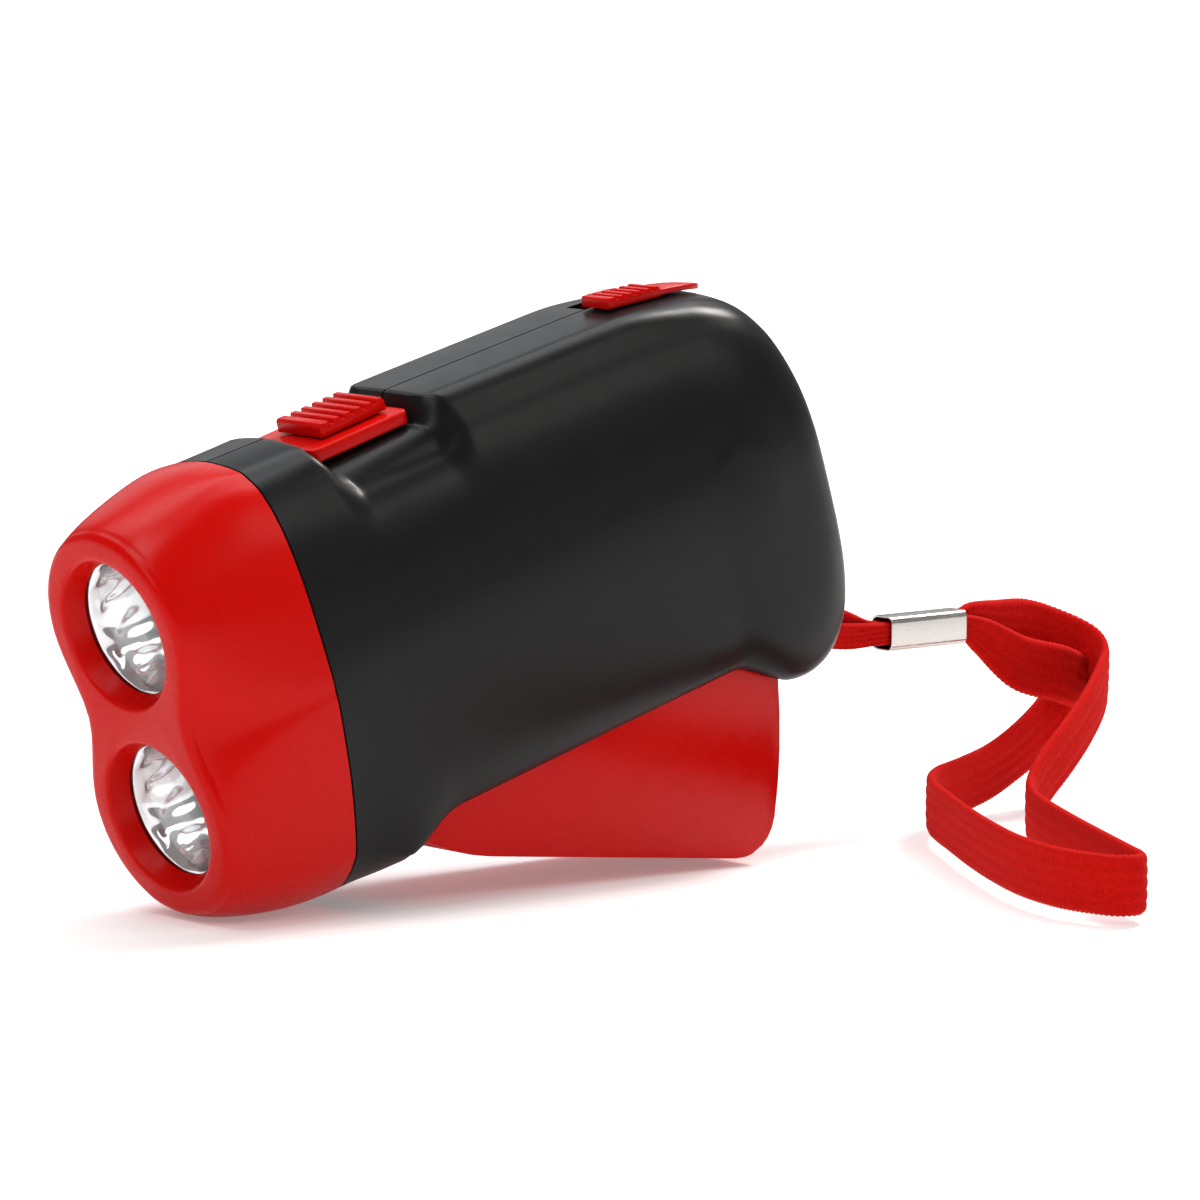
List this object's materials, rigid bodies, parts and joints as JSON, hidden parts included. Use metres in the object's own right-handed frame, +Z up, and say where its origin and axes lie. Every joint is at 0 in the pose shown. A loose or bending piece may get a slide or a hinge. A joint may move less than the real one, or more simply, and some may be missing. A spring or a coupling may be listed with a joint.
{
  "type": "squeeze dynamo torch",
  "caption": "Hand-squeezed dynamo torch with stacked lamps, thumb switch, sliding lever lock, geared generator and braided wrist strap.",
  "frame": {"origin": "centre of the foot print, on the floor it stands on, without the strap", "axes": "-X towards the lamps, +X to the rear, +Z up, -Y the side without screws"},
  "size_m": [0.1805, 0.0992, 0.0808],
  "materials": {
    "black_shell": "fine satin grain",
    "red_plastic": "semi-gloss",
    "clear_lens": "clear",
    "bright_chrome": "mirror bright",
    "lamp": "clear resin",
    "board": "lacquered laminate",
    "steel": "plain",
    "brass": "plain",
    "nylon": "natural",
    "magnet": "sintered ferrite",
    "copper": "enamelled copper wire",
    "red_braid": "flat woven braid"
  },
  "bodies": {
    "torch": {"left_housing": "black_shell", "right_housing": "black_shell", "head_bezel": "red_plastic", "upper_lens": "clear_lens", "lower_lens": "clear_lens", "upper_reflector": "bright_chrome", "lower_reflector": "bright_chrome", "upper_led": "lamp", "lower_led": "lamp", "led_board": "board", "switch_plate": "red_plastic", "slide_switch": "steel", "circuit_board": "board", "battery_stack": "steel", "near_contact": "brass", "far_contact": "brass", "lever_pin": "steel", "return_spring": "steel", "drive_shaft": "steel", "second_shaft": "steel", "rotor_shaft": "steel", "inner_stator": "steel", "outer_stator": "steel", "coil_winding": "copper", "housing_screw_1": "steel", "housing_screw_2": "steel", "housing_screw_3": "steel", "housing_screw_4": "steel", "strap_ferrule": "bright_chrome", "wrist_strap": "red_braid"},
    "lever": {"squeeze_lever": "red_plastic"},
    "drive": {"drive_pinion": "brass", "drive_wheel": "nylon"},
    "second": {"second_gear": "nylon"},
    "flywheel": {"rotor": "steel", "rotor_magnet": "magnet"},
    "button": {"switch_button": "red_plastic"},
    "lock": {"lock_slider": "red_plastic"}
  },
  "joints": [
    {"name": "lever_swing", "type": "hinge", "parent": "torch", "child": "lever", "pos_m": [-0.02359, 0, 0.0168], "axis": [0, -1, 0], "range_deg": [0, 21], "stiffness_Nm_per_rad": 0.4, "springref_deg": -34.38, "deforming": ["return_spring"]},
    {"name": "drive_spin", "type": "hinge", "parent": "torch", "child": "drive", "pos_m": [0.00598, 0, 0.04373], "axis": [0, -1, 0], "range_deg": [-120, 0]},
    {"name": "second_spin", "type": "hinge", "parent": "torch", "child": "second", "pos_m": [0.01573, 0, 0.05591], "axis": [0, -1, 0], "range_deg": [0, 398]},
    {"name": "rotor_spin", "type": "hinge", "parent": "torch", "child": "flywheel", "pos_m": [0.0255, 0, 0.06449], "axis": [0, -1, 0], "range_deg": [-1324, 0]},
    {"name": "switch_slide", "type": "slide", "parent": "torch", "child": "button", "axis": [-0.9597, 0, -0.281], "range_m": [0, 0.003]},
    {"name": "lock_slide", "type": "slide", "parent": "torch", "child": "lock", "axis": [-0.9868, 0, -0.1619], "range_m": [0, 0.004]}
  ],
  "couplings": [
    {"joint": "drive_spin", "follows": "lever_swing", "ratio": -5.6667},
    {"joint": "second_spin", "follows": "lever_swing", "ratio": 18.889},
    {"joint": "rotor_spin", "follows": "lever_swing", "ratio": -62.963}
  ]
}
